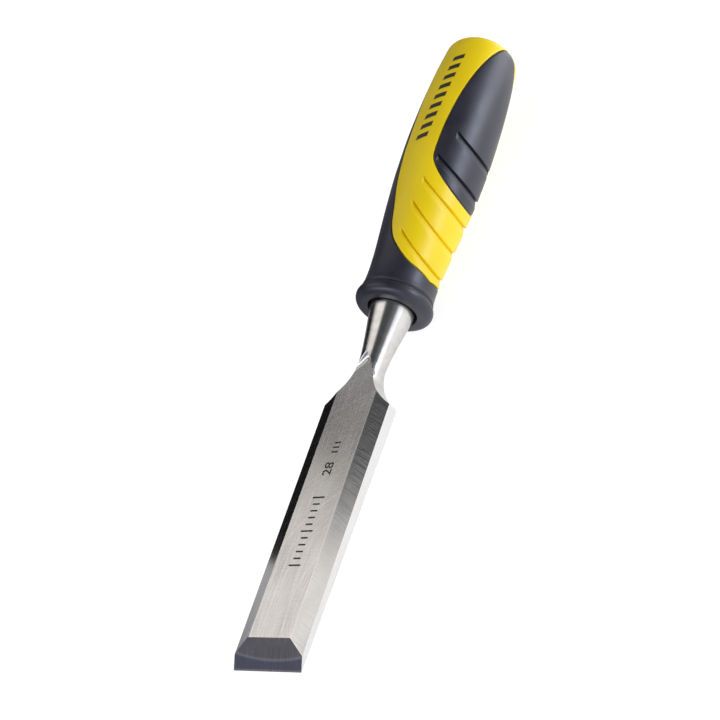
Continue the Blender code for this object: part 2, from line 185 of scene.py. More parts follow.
def grid_piece(name, grids):
    """Object from (points, map, material numbers) grids whose rows run along the tool.

    Points on top of each other are joined, so grids that meet make one surface.
    """
    points, maps, quads, kinds, start = [], [], [], [], 0
    for grid, flat, kind in grids:
        rows, columns = grid.shape[:2]
        i = np.arange(rows * columns).reshape(rows, columns) + start
        quad = np.stack([i[:-1, :-1], i[1:, :-1], i[1:, 1:], i[:-1, 1:]], axis=-1)
        points.append(grid.reshape(-1, 3))
        maps.append(flat.reshape(-1, 2))
        quads.append(quad.reshape(-1, 4))
        kinds.append(np.broadcast_to(kind, (rows - 1, columns - 1)).reshape(-1))
        start += rows * columns
    points, maps = np.concatenate(points) * MM, np.concatenate(maps)
    quads, kinds = np.concatenate(quads), np.concatenate(kinds)
    mesh = bpy.data.meshes.new(name)
    mesh.from_pydata(points, [], quads)
    mesh.polygons.foreach_set("material_index", kinds.astype(np.int32))
    layer = mesh.uv_layers.new(name="map_mm")
    layer.data.foreach_set("uv", maps[quads.reshape(-1)].reshape(-1).astype(np.float32))
    mesh.transform(bench)
    bm = bmesh.new()
    bm.from_mesh(mesh)
    bmesh.ops.remove_doubles(bm, verts=bm.verts, dist=0.0002 * MM)
    bm.to_mesh(mesh)
    bm.free()
    mesh.shade_smooth()
    mesh.set_sharp_from_angle(angle=math.radians(38))
    piece = new_object(name, mesh)
    print(name, len(mesh.vertices), "points,", len(mesh.polygons), "faces")
    return piece


# %% [markdown]
# ## Blade
# Each section starts as the forging, a rectangle that rounds into the neck, and is then ground
# down by the face, the two side bevels, the back and the primary bevel. A soft minimum of these
# planes leaves every edge very slightly rounded, as stoning leaves it. Cutting a block with planes
# would give the same flats, but edges of no width and no say over the grid.

# %% Heights and widths along the blade
def between(at_edge, at_shoulder, s):
    """Straight line through a value at the cutting edge and one at the right shoulder."""
    return at_edge + (at_shoulder - at_edge) * s / RIGHT_SHOULDER


def back_height(s, x=0.0):
    """Flat back: a straight line that curves out of the neck over the last few millimetres."""
    return run_out(s, x, between(BACK_AT_EDGE, BACK_AT_SHOULDER, s), -1)


def face_height(s, x=0.0):
    """Ground face: the back plus a thickness that grows evenly, with the same run-out."""
    slope = (BACK_AT_SHOULDER - BACK_AT_EDGE + THICK_AT_SHOULDER - THICK_AT_EDGE) / RIGHT_SHOULDER
    return run_out(s, x, BACK_AT_EDGE + THICK_AT_EDGE + slope * s, 1)


def run_out(s, x, line, outward):
    """The line, then a square of the distance past a V-shaped start, up to just over the neck.

    The V points to the handle: its arms fall back by SPLAY for each millimetre to the side.
    """
    t = np.where(s > 100.0, np.maximum(s + SPLAY * np.abs(x) - RUN_OUT_START, 0.0) / RUN_OUT, 0.0)
    return line + (outward * (NECK_RADIUS + 1.0) - line) * t * t


def half_width(s, shoulder):
    """Full width to the shoulder, then one concave arc into the neck.

    Half the chord squared plus the run squared, over twice the fall, is the arc's radius.
    """
    fall, run = HALF_WIDTH - NECK_RADIUS, NECK_STATION - shoulder
    radius = (fall ** 2 + run ** 2) / (2 * fall)
    left = np.clip(NECK_STATION - s, 0.0, run)
    return np.where(left >= run, HALF_WIDTH,
                    NECK_RADIUS + radius - np.sqrt(radius ** 2 - left ** 2))


def soft_minimum(heights, softness):
    """Smallest of the heights, rounded off where two of them come close.

    It is the least, less the softness times the logarithm of the summed exponentials.
    """
    heights = np.array(heights)
    least = heights.min(axis=0)
    return least - softness * np.log(np.exp((least - heights) / softness).sum(axis=0))


neck = smooth_curve(((NECK_STATION, NECK_RADIUS), (112.0, 5.0),
                     (BOLSTER_STATION, BOLSTER_RADIUS)))
stations = np.concatenate([[0.0, 0.03, 0.07], np.arange(0.12, 10.5, 0.12), np.arange(10.5, 91, 1.0),
                           np.arange(91, 113, 0.15), np.linspace(113, BOLSTER_STATION, 46)])
TOP_COLUMNS, BEVEL_COLUMNS, SIDE_COLUMNS, BACK_COLUMNS = 72, 24, 32, 36
SIDE_REACH = 58.0
print(len(stations), "stations, face", float(face_height(0.0)), "mm up at the edge line")


# %% [markdown]
# ## One section of the blade
# The blank is a circle at the neck and a square at the shoulder, with a blend between them. The row
# runs from the right-hand land over the face, down the left-hand land and back along the underside.

# %% Section
def blade_row(s):
    """One section as points (x, z), from the right-hand land over the face and round the back."""
    rounding = np.clip((s - RIGHT_SHOULDER) / (NECK_STATION - RIGHT_SHOULDER), 0, 1)
    square_share = 1 - rounding ** 2 * (3 - 2 * rounding)
    tall = float(neck(s)) if s > NECK_STATION else NECK_RADIUS
    back, face = float(back_height(s)), float(face_height(s))
    land = back + between(LAND_AT_EDGE, LAND_AT_SHOULDER, s)
    flat_half = between(FACE_AT_EDGE, FACE_AT_SHOULDER, s)
    bevel_slope = (face - land) / (HALF_WIDTH - flat_half) if s < NECK_STATION else 0.0
    primary = BACK_AT_EDGE + PRIMARY_SLOPE * s

    def top_at(x):
        """Heights of the face, the side bevels and the primary bevel at each x."""
        limits = [face_height(s, x), land + bevel_slope * (HALF_WIDTH - np.abs(x)),
                  np.full_like(x, primary)]
        if s >= NECK_STATION:
            limits = limits[::2]
        return limits

    turn = np.radians(np.linspace(-90, 90, 721))
    around = np.stack([np.cos(turn), np.sin(turn)])
    square = around / np.abs(around).max(axis=0)
    across, up = around * (1 - square_share) + square * square_share
    up = up * tall
    sides, tops, backs = [], [], []
    for sign, shoulder in ((1, RIGHT_SHOULDER), (-1, LEFT_SHOULDER)):
        wide = float(half_width(s, shoulder)) if s < NECK_STATION else tall
        out = across * wide
        limit = np.min(top_at(out), axis=0)
        inside = (up <= limit) & (up >= back)
        low = turn[inside].min() if inside.any() else math.atan2(back / tall, 1)
        high = turn[inside].max() if inside.any() else low
        low, high = max(low, -math.radians(SIDE_REACH)), min(high, math.radians(SIDE_REACH))
        t = np.linspace(low, high, SIDE_COLUMNS + 1)
        z = np.interp(t, turn, up)
        if high < math.radians(SIDE_REACH - 0.1):
            corner = np.array([np.interp(high, turn, out)])
            z[-1] = min(np.min(top_at(corner), axis=0)[0], z[-1] + 1)
        if low > -math.radians(SIDE_REACH - 0.1):
            z[0] = back
        sides.append((sign * np.interp(t, turn, out), np.maximum(z, back)))
        tops.append(float(np.interp(high, turn, out)))
        backs.append(float(np.interp(low, turn, out)))
        if sign == 1:
            right_out, right_up = out, up
        else:
            left_out, left_up = out, up
    corner_right, corner_left = min(flat_half, 0.9 * tops[0]), min(flat_half, 0.9 * tops[1])
    x = np.concatenate([spread(tops[0], corner_right, BEVEL_COLUMNS)[1:],
                        spread(corner_right, -corner_left, TOP_COLUMNS)[1:],
                        spread(-corner_left, -tops[1], BEVEL_COLUMNS)[1:-1]])
    upper = turn >= 0
    blank = np.where(x > 0, np.interp(-x, -right_out[upper], right_up[upper]),
                     np.interp(x, -left_out[upper], left_up[upper]))
    z = np.maximum(soft_minimum([blank] + top_at(x), EDGE_SOFTNESS), back)
    under = np.linspace(-backs[1], backs[0], BACK_COLUMNS + 1)[1:-1]
    lower = turn <= 0
    blank_under = np.where(under > 0, np.interp(under, right_out[lower], right_up[lower]),
                           np.interp(-under, left_out[lower], left_up[lower]))
    row_x = np.concatenate([sides[0][0], x, sides[1][0][::-1], under])
    row_z = np.concatenate([sides[0][1], z, sides[1][1][::-1],
                            np.maximum(blank_under, back_height(s, under))])
    return np.stack([row_x, np.full_like(row_x, s), row_z], axis=-1)


rows = np.array([blade_row(s) for s in stations])
print("blade grid", rows.shape[:2])

# %% [markdown]
# ## Which grinding made each face
# Each zone gets its own steel: 0 face and back, 1 side bevels, 2 primary bevel, 3 lands, 4 neck. A
# face belongs to the plane that is lowest there, and to the forging where it lies off every plane.

# %% Zones and mesh of the blade
OFF_PLANE, OFF_PLANE_NECK = 0.12, 0.05
rows = np.concatenate([rows, rows[:, :1]], axis=1)
steps = np.linalg.norm(np.diff(rows, axis=1), axis=-1)
walk = np.concatenate([np.zeros((len(rows), 1)), np.cumsum(steps, axis=1)], axis=1)
middle_column = SIDE_COLUMNS + BEVEL_COLUMNS + TOP_COLUMNS // 2
blade_map = np.stack([walk - walk[:, [middle_column]], rows[..., 1]], axis=-1)
center = (rows[:-1, :-1] + rows[1:, 1:]) / 2
cx, cs, cz = np.moveaxis(center, -1, 0)
column = np.arange(center.shape[1])
on_top = (column > SIDE_COLUMNS - 1) & (column < SIDE_COLUMNS + 2 * BEVEL_COLUMNS + TOP_COLUMNS)
on_back = column > 2 * SIDE_COLUMNS + 2 * BEVEL_COLUMNS + TOP_COLUMNS
bevel_at = back_height(cs) + between(LAND_AT_EDGE, LAND_AT_SHOULDER, cs)
flat_at = between(FACE_AT_EDGE, FACE_AT_SHOULDER, cs)
bevel_share = (HALF_WIDTH - np.abs(cx)) / (HALF_WIDTH - flat_at)
bevel_top = bevel_at + (face_height(cs) - bevel_at) * bevel_share
primary_top = BACK_AT_EDGE + PRIMARY_SLOPE * cs
above = np.array([face_height(cs, cx), bevel_top, primary_top])
zone = np.where(on_top[None, :], above.argmin(axis=0), 3)
zone = np.where(on_back[None, :], 0, zone)
off_plane = np.where(on_top[None, :], above.min(axis=0) - cz, 0.0)
off_back = np.where(on_back[None, :], cz - back_height(cs, cx), 0.0)
forged = (off_plane > OFF_PLANE) | (off_back > OFF_PLANE)
forged |= (cs > NECK_STATION) & (np.abs(off_plane) + off_back > OFF_PLANE_NECK)
side_of_neck = ~(on_top | on_back)[None, :] & (cs > RIGHT_SHOULDER + 1.0)
zone = np.where(forged | side_of_neck, 4, zone)
end_cap = np.stack([rows[-1], np.broadcast_to([0.0, BOLSTER_STATION, 0.0], rows[-1].shape)])
blade = grid_piece("ground_blade", [
    (rows, blade_map, zone),
    (end_cap, np.stack([blade_map[-1], blade_map[-1]]), 4)])

# %% [markdown]
# ## Outlines on the handle
# The soft panel is a half ellipse above and a shallow bow below. The sleeve's edge climbs the
# left-hand side and ends in the same half ellipse. Each outline is a line of (angle, station). The
# butt is a corner arc that meets a shallow dome, whose centre follows from the two touching.

# %% Profile of the handle
swell = smooth_curve(SWELL)
side_station, side_radius = SWELL[-1]
lean = math.atan2(SWELL[-2][1] - side_radius, side_station - SWELL[-2][0])
corner_station = side_station - BUTT_CORNER * math.sin(lean)
corner_radius = side_radius - BUTT_CORNER * math.cos(lean)
limit = HANDLE_END - BUTT_CORNER
dome_center = ((limit ** 2 - corner_station ** 2 - corner_radius ** 2)
               / (2 * (limit - corner_station)))
meet = math.degrees(math.atan2(corner_radius, corner_station - dome_center))
butt = np.concatenate([
    arc((corner_station, corner_radius), BUTT_CORNER, 90 - math.degrees(lean), meet, 40),
    arc((dome_center, 0.0), HANDLE_END - dome_center, meet, 0.0, 40)[1:]])


def handle_radius(station):
    """Outer radius of the handle, rounded butt included."""
    station = np.asarray(station, float)
    return np.where(station < side_station, swell(station),
                    np.interp(station, butt[:, 0], butt[:, 1]))


print("widest radius", float(handle_radius(196.0)), "mm, dome centre at", round(dome_center, 2))


# %% [markdown]
# ## Edges of the soft pieces
# Pockets and inlays share one outline, moved sideways by the gap. Moving it on the unrolled skin
# keeps the gap even, which scaling the outline wouldn't.

# %% Outlines
def offset(line, margin, closed):
    """Move an (angle, station) line sideways by a margin measured on the handle's skin."""
    flat = line * (DEGREE, 1.0)
    along = np.roll(flat, -1, 0) - np.roll(flat, 1, 0) if closed else np.gradient(flat, axis=0)
    along = along / np.linalg.norm(along, axis=1, keepdims=True)
    outward = np.stack([-along[:, 1], along[:, 0]], axis=1)
    return (flat + margin * outward) / (DEGREE, 1.0)


turn = np.linspace(0, np.pi, 500, endpoint=False)
upper_half = np.stack([HALF_ANGLE * np.cos(turn), MIDDLE + (TOP - MIDDLE) * np.sin(turn)], axis=1)
across = -np.cos(turn)
bow = BOW + BOW_RISE * ((HALF_ANGLE * across - BOW_ANGLE) / (HALF_ANGLE - BOW_ANGLE)) ** 2
corner = 1 - (1 - np.abs(across) ** 6) ** (1 / 6)
lower_half = np.stack([HALF_ANGLE * across, bow + (MIDDLE - bow) * corner], axis=1)
panel_line = np.concatenate([upper_half, lower_half])
low_angles = np.linspace(0, 117.5, 400)
tongue_turn = np.linspace(0, np.pi / 2, 300)[1:]
sleeve_line = np.concatenate([
    np.stack([low_angles, smooth_curve(SLEEVE_EDGE)(low_angles)], axis=1),
    np.stack([180 - HALF_ANGLE * np.cos(tongue_turn),
              MIDDLE + (TOP - MIDDLE) * np.sin(tongue_turn)], axis=1)])


def panel_edges(margin):
    """Lower and upper edge of the panel as functions of the angle, and its half angle."""
    line = offset(panel_line, -margin, closed=True)
    half = len(line) // 2
    upper, lower = line[:half][::-1], line[half:]
    reach = float(line[:, 0].max())
    upper = np.concatenate([[[-reach, MIDDLE]], upper, [[reach, MIDDLE]]])
    lower = np.concatenate([[[-reach, MIDDLE]], lower, [[reach, MIDDLE]]])
    upper, lower = upper[np.argsort(upper[:, 0])], lower[np.argsort(lower[:, 0])]
    return (lambda a: np.interp(a, lower[:, 0], lower[:, 1]),
            lambda a: np.interp(a, upper[:, 0], upper[:, 1]), reach)


def sleeve_edge(margin):
    """The sleeve's edge as a function of the angle, and the angle where its tongue starts."""
    line = offset(sleeve_line, margin, closed=False)
    line = line[np.argsort(line[:, 0])]
    return (lambda a: np.interp(180 - np.abs(180 - np.mod(a, 360)), line[:, 0], line[:, 1]),
            float(np.interp(MIDDLE, line[:, 1], line[:, 0])))


print("panel outline", len(panel_line), "points, sleeve outline", len(sleeve_line))


# %% [markdown]
# ## Rounded edges and finger grooves
# A groove has a steep side towards the butt, a narrow slot at its foot, and a flat ramp towards the
# blade, as a moulded grip has where a finger pushes. Its depth is worked out at every grid point.

# %% Edges and grooves
def distance_to(line, angle, station):
    """Distance in millimetres on the skin from each grid point to the nearest point of a line."""
    flat = line * (DEGREE, 1.0)
    near = np.empty(angle.shape)
    for i in range(len(angle)):
        a = angle[i][:, None] * DEGREE - flat[None, :, 0]
        near[i] = np.hypot(a, station[i][:, None] - flat[None, :, 1]).min(axis=1)
    return near


def rounded_edge(distance, radius):
    """Fall of a quarter-round edge below the skin, at a distance from its outline."""
    inward = radius - np.clip(distance, 0, radius)
    return radius - np.sqrt(radius ** 2 - inward ** 2)


def groove_line(groove, angle):
    """Station of a groove's steep side: a parabola round the bow's lowest point."""
    middle, end, end_angle = groove
    share = (angle - BOW_ANGLE) / (end_angle - BOW_ANGLE)
    return middle + (end - middle) * np.clip(share, -1, 1) ** 2


def groove_depth(groove, angle, station, reach=GROOVE_RAMP):
    """Depth of a groove: a steep wall with a narrow slot at its foot, then a flat ramp.

    The groove ends in a quarter round. Reach is the ramp's width towards the blade.
    """
    half = (groove[2] - BOW_ANGLE) * DEGREE
    to_end = half - np.abs(angle - BOW_ANGLE) * DEGREE
    fade = np.sqrt(1 - (1 - np.clip(to_end / 1.1, 0, 1)) ** 2)
    below = groove_line(groove, angle) - station
    wall = np.clip(below / 0.16, 0, 1)
    slot = np.clip((0.8 - below) / 0.5, 0, 1)
    ramp = np.clip((reach - below) / (reach - 0.16), 0, 1) ** 0.9
    return fade * wall * (GROOVE_DEPTH * 0.8 * ramp + 0.4 * slot * slot)


print("deepest groove", round(float(groove_depth(
    PANEL_GROOVES[0], BOW_ANGLE, PANEL_GROOVES[0][0] - 0.2)), 2), "mm")

# %% [markdown]
# ## Soft panel
# A patch of the handle's skin whose edges are rounded over, with two finger grooves. Its rows
# follow the grooves, so their steep sides stay crisp. Cutting grooves out of an even grid would
# leave them jagged.

# %% Soft panel
def grooved_rows(low, high, grooves, angle, counts, edge_count):
    """Stations of each column: from low to high, with a close band of rows at each groove."""
    marks = [low]
    room = high - low
    for i, groove in enumerate(grooves):
        share = (i + 1) / (len(grooves) + 1)
        line = groove_line(groove, angle)
        line = np.clip(line, low + 0.6 * share * room * 0.25, high - 0.25 * (1 - share) * room)
        marks += [line - np.minimum(0.85, 0.04 * room), line]
    marks.append(high)
    parts = [marks[0][None]]
    for i, (start, end) in enumerate(zip(marks[:-1], marks[1:])):
        count = 14 if i % 2 else (edge_count if i in (0, len(marks) - 2) else counts)
        parts.append(spread(start, end, count).T[1:])
    return np.concatenate(parts)


def skin_grid(angle, station, drop, kind, walls):
    """Grid on the handle's skin, lowered by drop, with walls down along its first and last rows."""
    radius = handle_radius(station) - drop
    angle = np.broadcast_to(angle, station.shape)
    if walls:
        floor = handle_radius(station) - WALL
        angle = np.concatenate([angle[:1], angle, angle[-1:]])
        radius = np.concatenate([floor[:1], radius, floor[-1:]])
        station = np.concatenate([station[:1], station, station[-1:]])
    return (wrap(angle, station, radius), np.stack([angle * DEGREE, station], axis=-1), kind)


panel_low, panel_high, panel_reach = panel_edges(0.0)
angles = spread(-panel_reach, panel_reach, 180)
rows = grooved_rows(panel_low(angles), panel_high(angles), PANEL_GROOVES, angles, 34, 60)
grid_angles = np.broadcast_to(angles, rows.shape)
fall = rounded_edge(distance_to(panel_line, grid_angles, rows), SOFT_EDGE)
for groove in PANEL_GROOVES:
    fall = fall + groove_depth(groove, grid_angles, rows)
panel = grid_piece("soft_panel", [skin_grid(grid_angles, rows, fall, 0, walls=True)])

# %% [markdown]
# ## Soft sleeve
# The collar's thick rounded rim, a fine crease above it, and the skin up to the sleeve's edge. It
# is one profile turned round the handle, whose last rows stretch to follow the slanting edge.

# %% Soft sleeve
edge_of, tongue_start = sleeve_edge(0.0)
angles = np.concatenate([spread(-tongue_start, 0, 70), spread(0, tongue_start, 70)[1:],
                         spread(tongue_start, 180, 50)[1:],
                         spread(180, 360 - tongue_start, 50)[1:]])
front = np.concatenate([
    [(133.0, BORE_RADIUS), (131.2, BORE_RADIUS)],
    arc((130.2, BORE_RADIUS + 0.4), 0.4, 270, 180, 6),
    arc((RIM_STATION, RIM_RADIUS), RIM_ROUND, 176, 50, 26),
    [(134.55, 12.42), (134.85, 12.2), (135.05, 12.1), (135.25, 12.16), (135.5, 12.36),
     (135.85, 12.42), (136.3, 12.32), (136.9, 12.18)]])
front_stations = np.repeat(front[:, :1], len(angles), axis=1)
front_radii = np.repeat(front[:, 1:], len(angles), axis=1)
skin = np.linspace(0, 1, 100)[:, None] ** 0.8 * (edge_of(angles) - COLLAR_TOP) + COLLAR_TOP
around = np.where(angles > 180, angles - 360, angles)
grid_angles = np.broadcast_to(np.abs(around), skin.shape)
near = distance_to(sleeve_line, grid_angles, skin)
skin_radii = handle_radius(skin) - rounded_edge(near, SOFT_EDGE)
all_stations = np.concatenate([front_stations, skin, skin[-1:]])
all_radii = np.concatenate([front_radii, skin_radii, handle_radius(skin[-1:]) - WALL])
sleeve_angles = np.broadcast_to(angles, all_stations.shape)
sleeve = grid_piece("soft_sleeve", [
    (wrap(sleeve_angles, all_stations, all_radii),
     np.stack([sleeve_angles * DEGREE, all_stations], axis=-1), 0)])

# %% [markdown]
# ## Hard core
# What shows of the core is a lower band with three grooves between the sleeve and the panel, two
# side stripes, and the butt. A floor under the soft pieces closes the gap round them. The lower
# band is its own grid, so that its rows can follow its grooves.

# %% Grooved band of the core
core_low, core_tongue = sleeve_edge(GAP)
panel_low_gap, panel_high_gap, stripe = panel_edges(GAP)
right_side = np.concatenate([spread(-core_tongue, -stripe, 36), spread(-stripe, stripe, 180)[1:],
                             spread(stripe, core_tongue, 36)[1:]])
in_panel = np.abs(right_side) < stripe
high = np.where(in_panel, panel_low_gap(right_side), MIDDLE)
low = np.minimum(core_low(right_side), high)
rows = grooved_rows(low, high, CORE_GROOVES, right_side, 30, 26)
grid_angles = np.broadcast_to(right_side, rows.shape)
panel_pocket = offset(panel_line, -GAP, closed=True)
sleeve_pocket = offset(sleeve_line, GAP, closed=False)


def core_fall(angle, station):
    """Fall of the core's rounded edges towards the panel's and the sleeve's pockets."""
    near = np.minimum(distance_to(panel_pocket, angle, station),
                      distance_to(sleeve_pocket, np.abs(angle), station))
    return rounded_edge(near, HARD_EDGE)


fall = core_fall(grid_angles, rows)
for groove in CORE_GROOVES:
    reach = np.clip(groove_line(groove, grid_angles) - low - 0.9, 0.6, GROOVE_RAMP)
    fall = fall + groove_depth(groove, grid_angles, rows, reach)
band = skin_grid(grid_angles, rows, fall, 0, walls=False)
lower_wall = skin_grid(right_side, np.repeat(low[None], 2, 0),
                       np.stack([np.full_like(low, WALL), fall[0]]), 0, walls=False)
panel_columns = np.flatnonzero(in_panel)
panel_wall = skin_grid(right_side[panel_columns], np.repeat(high[None, panel_columns], 2, 0),
                       np.stack([fall[-1, panel_columns], np.full(len(panel_columns), WALL)]),
                       0, walls=False)
print("grooved band", rows.shape)

# %% [markdown]
# ## Butt and stripes
# Above the band the skin runs on to the butt in one grid. Its rows start at the panel's and the
# sleeve's edges and close to a point at the end, and walls drop from those edges to the floor.

# %% Upper core and its mesh
all_round = np.concatenate([right_side, spread(core_tongue, 180, 50)[1:],
                            spread(180, 360 - core_tongue, 50)[1:]])
turned = np.where(all_round > 180, all_round - 360, all_round)
start = np.where(np.abs(turned) < stripe, panel_high_gap(turned),
                 np.where(np.abs(turned) > core_tongue, core_low(turned), MIDDLE))
profile_stations = np.concatenate([np.linspace(MIDDLE - 1, side_station, 200)[:-1], butt[:, 0]])
profile = np.stack([profile_stations, np.where(profile_stations < side_station,
                                               swell(profile_stations), 0)], axis=1)
profile[199:, 1] = butt[:, 1]
length = np.concatenate([[0], np.cumsum(np.linalg.norm(np.diff(profile, axis=0), axis=1))])
first = np.interp(start, profile[:, 0], length)
share = np.concatenate([np.linspace(0, 0.06, 16)[:-1], np.linspace(0.06, 1, 110)])[:, None]
at = first + (length[-1] - first) * share
upper_stations = np.interp(at, length, profile[:, 0])
upper_radii = np.interp(at, length, profile[:, 1])
upper_fall = core_fall(np.broadcast_to(turned, at.shape), upper_stations)
upper_fall = np.where(upper_stations > HANDLE_END - 1.5, 0.0, upper_fall)
upper_angles = np.broadcast_to(all_round, at.shape)
butt_grid = (wrap(upper_angles, upper_stations, np.maximum(upper_radii - upper_fall, 0.0)),
             np.stack([upper_angles * DEGREE, MIDDLE - 1 + at], axis=-1), 0)
walled = ~((np.abs(turned) >= stripe) & (np.abs(turned) <= core_tongue))
walls = []
for half in (np.abs(turned) < 90, np.abs(turned) > 90):
    side = np.flatnonzero(walled & half)
    down = upper_radii[0, side] - upper_fall[0, side]
    walls.append((wrap(all_round[side], start[side], np.stack([down - WALL, down])),
                  np.broadcast_to(np.stack([all_round[side] * DEGREE, start[side]], axis=-1),
                                  (2, len(side), 2)), 0))
FLOOR_START, FLOOR_STOP = 133.3, 238.5
floor_angles, floor_stations = np.meshgrid(np.linspace(0, 360, 121),
                                           np.linspace(FLOOR_START, FLOOR_STOP, 80))
floor = skin_grid(floor_angles, floor_stations, WALL, 0, walls=False)
core = grid_piece("hard_core", [band, lower_wall, panel_wall, butt_grid, *walls, floor])

# %% [markdown]
# ## Etched size mark
# The blade's width in figures, a hair above the ground face, because an etch has no depth that
# shows. Blender's own font is turned into a mesh first. Its points are then read out and laid along
# the blade, a quarter turn round, as a size mark reads from the side.

# %% Size figures
MARK_LIFT = 0.012


def flat_piece(name, x, s, faces):
    """Object of flat faces over the points (x, station), lifted just above the ground face."""
    mesh = bpy.data.meshes.new(name)
    mesh.from_pydata(np.stack([x, s, face_height(s) + MARK_LIFT], axis=1) * MM, [], faces)
    mesh.transform(bench)
    piece = new_object(name, mesh)
    print(name, len(faces), "faces")
    return piece


font = bpy.data.curves.new("size_figures", "FONT")
font.body = "28"
font.size = 5.0
font.offset = 0.07
font.align_x = font.align_y = "CENTER"
writing = new_object("size_writing", font)
bpy.context.view_layer.update()
flat = writing.evaluated_get(bpy.context.evaluated_depsgraph_get()).to_mesh()
letters = np.empty(len(flat.vertices) * 3, np.float32)
flat.vertices.foreach_get("co", letters)
letters = letters.reshape(-1, 3).astype(float)
letter_faces = [tuple(p.vertices) for p in flat.polygons]
bpy.data.objects.remove(writing)
figures = flat_piece("size_figures", -letters[:, 1] - 0.2, letters[:, 0] + 68.4, letter_faces)

# %% [markdown]
# ## Bars and scale
# Three plain bars above the figures and a plain scale below them, in the same thin flat faces.

# %% Bars and scale
def bar(x, s, wide, long, steps=6):
    """Outline of a bar: its middle, its width across the blade and its length along it.

    Each corner is a quarter circle of 0.45 times the bar's smaller side.
    """
    r = min(wide, long) * 0.45
    t = np.radians(np.linspace(0, 90, steps))
    quarter = np.stack([np.cos(t), np.sin(t)], axis=1) * r + (wide / 2 - r, long / 2 - r)
    corners = [quarter, quarter[::-1] * (-1, 1), quarter * (-1, -1), quarter[::-1] * (1, -1)]
    return np.concatenate(corners) + (x, s)


bars = [bar(-0.2, 74.6 + 1.7 * i, 2.8, 0.6) for i in range(3)]
bars += [bar(0.0, 34.0 + 2.4 * i, 5.0 if i % 5 == 0 else 3.0, 0.6) for i in range(11)]
corners = np.concatenate(bars)
marks = flat_piece("graduation_marks", corners[:, 0], corners[:, 1],
                   np.arange(len(corners)).reshape(len(bars), -1).tolist())

# %% [markdown]
# ## Materials
# A finish here is noise stretched the way the real work ran: long scratches on the ground face,
# cross marks on the side bevels, turned rings on the neck. A small helper keeps each finish short.

# %% Node helper
class Nodes:
    """Short calls that add and link the nodes of one material, or of the world."""

    def __init__(self, owner, shader="Principled BSDF"):
        owner.use_nodes = True
        self.material = owner
        self.tree = owner.node_tree
        self.shader = self.tree.nodes[shader]

    def add(self, kind, **settings):
        """New node of a kind, with its settings."""
        node = self.tree.nodes.new(kind)
        for key, value in settings.items():
            setattr(node, key, value)
        return node

    def put(self, socket, value):
        """Link a socket to an output, or set it to a plain value."""
        if isinstance(value, bpy.types.NodeSocket):
            self.tree.links.new(value, socket)
        else:
            socket.default_value = value

    def map_mm(self):
        """The millimetre map: across the tool, and station."""
        return self.add("ShaderNodeUVMap", uv_map="map_mm").outputs["UV"]

    def noise(self, place, scale, detail, rough, shift):
        """Noise over a place that is first scaled and shifted."""
        mapping = self.add("ShaderNodeMapping")
        mapping.inputs["Scale"].default_value = scale
        mapping.inputs["Location"].default_value = (shift, shift, shift)
        self.put(mapping.inputs["Vector"], place)
        noise = self.add("ShaderNodeTexNoise")
        noise.inputs["Scale"].default_value = 1.0
        noise.inputs["Detail"].default_value = detail
        noise.inputs["Roughness"].default_value = rough
        self.put(noise.inputs["Vector"], mapping.outputs["Vector"])
        return noise.outputs["Fac"]

    def stretched(self, across, along, detail=2.0, rough=0.5, shift=0.0):
        """Noise in the millimetre map: waves of these lengths across and along the tool."""
        return self.noise(self.map_mm(), (1 / across, 1 / along, 1.0), detail, rough, shift)

    def grain(self, across, along, detail=2.0, rough=0.5, shift=0.0):
        """Noise in the piece's own space, so that it runs evenly over a rounded end."""
        place = self.add("ShaderNodeTexCoord").outputs["Object"]
        scale = (1 / (across * MM), 1 / (along * MM), 1 / (across * MM))
        return self.noise(place, scale, detail, rough, shift)

    def part(self, axis):
        """One axis of the millimetre map."""
        split = self.add("ShaderNodeSeparateXYZ")
        self.put(split.inputs[0], self.map_mm())
        return split.outputs[axis]

    def math(self, operation, a, b=0.0, c=0.0):
        """One operation on up to three values."""
        node = self.add("ShaderNodeMath", operation=operation)
        for socket, value in zip(node.inputs, (a, b, c)):
            self.put(socket, value)
        return node.outputs[0]

    def times(self, a, b):
        """Product of two values."""
        return self.math("MULTIPLY", a, b)

    def plus(self, a, b):
        """Sum of two values."""
        return self.math("ADD", a, b)

    def span(self, value, low, high, out_low=0.0, out_high=1.0):
        """Map a value from one range to another, smoothly and clamped."""
        node = self.add("ShaderNodeMapRange", interpolation_type="SMOOTHSTEP")
        for i, number in enumerate((value, low, high, out_low, out_high)):
            self.put(node.inputs[i], number)
        return node.outputs[0]

    def blend(self, share, first, second):
        """Mix of two colours: the first at a share of 0, the second at 1."""
        node = self.add("ShaderNodeMix", data_type="RGBA")
        self.put(node.inputs["Factor"], share)
        self.put(node.inputs["A"], (*first, 1.0) if isinstance(first, tuple) else first)
        self.put(node.inputs["B"], (*second, 1.0) if isinstance(second, tuple) else second)
        return node.outputs["Result"]

    def bump(self, height, distance, strength=1.0, normal=None):
        """Normal tilted by a height, whose full range is a distance in millimetres."""
        node = self.add("ShaderNodeBump")
        node.inputs["Strength"].default_value = strength
        node.inputs["Distance"].default_value = distance * MM
        self.put(node.inputs["Height"], height)
        if normal:
            self.put(node.inputs["Normal"], normal)
        return node.outputs["Normal"]

    def set(self, **values):
        """Set or link the surface shader's own sockets."""
        names = {"color": "Base Color", "rough": "Roughness", "metal": "Metallic",
                 "normal": "Normal", "specular": "Specular IOR Level", "tint": "Specular Tint"}
        for key, value in values.items():
            socket = self.shader.inputs[names[key]]
            self.put(socket, (*value, 1.0) if isinstance(value, tuple) else value)


# %% [markdown]
# ## Ground face and back
# The belt ran along the blade, so most scratches are long and fine. A few faint arcs cross them,
# from the wheel that ground it first, and the tone drifts slowly.

